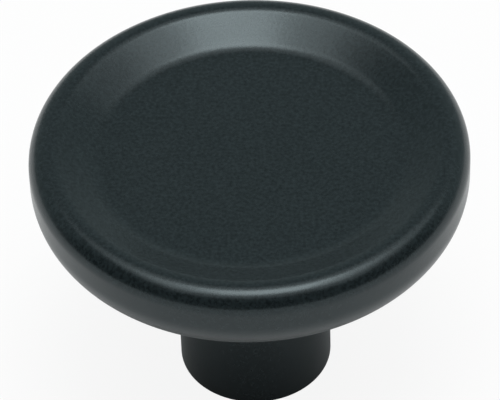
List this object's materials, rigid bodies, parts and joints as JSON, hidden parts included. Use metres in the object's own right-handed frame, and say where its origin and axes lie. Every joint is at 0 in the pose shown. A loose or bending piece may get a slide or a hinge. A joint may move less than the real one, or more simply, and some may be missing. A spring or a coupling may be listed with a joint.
{
  "type": "cabinet knob",
  "caption": "Round cabinet knob with a dished face and a rounded rim on a short plain stem, held by a screw from behind and used to pull a door or drawer.",
  "frame": {"origin": "centre of the foot face, at the mouth of the screw hole", "axes": "+Z along the knob's axis, from the door out to the dished face; X and Y are any two directions across it"},
  "size_m": [0.032, 0.032, 0.022],
  "materials": {
    "black_coat": "satin black powder coat"
  },
  "bodies": {
    "root": {"knob": "black_coat"}
  },
  "joints": []
}
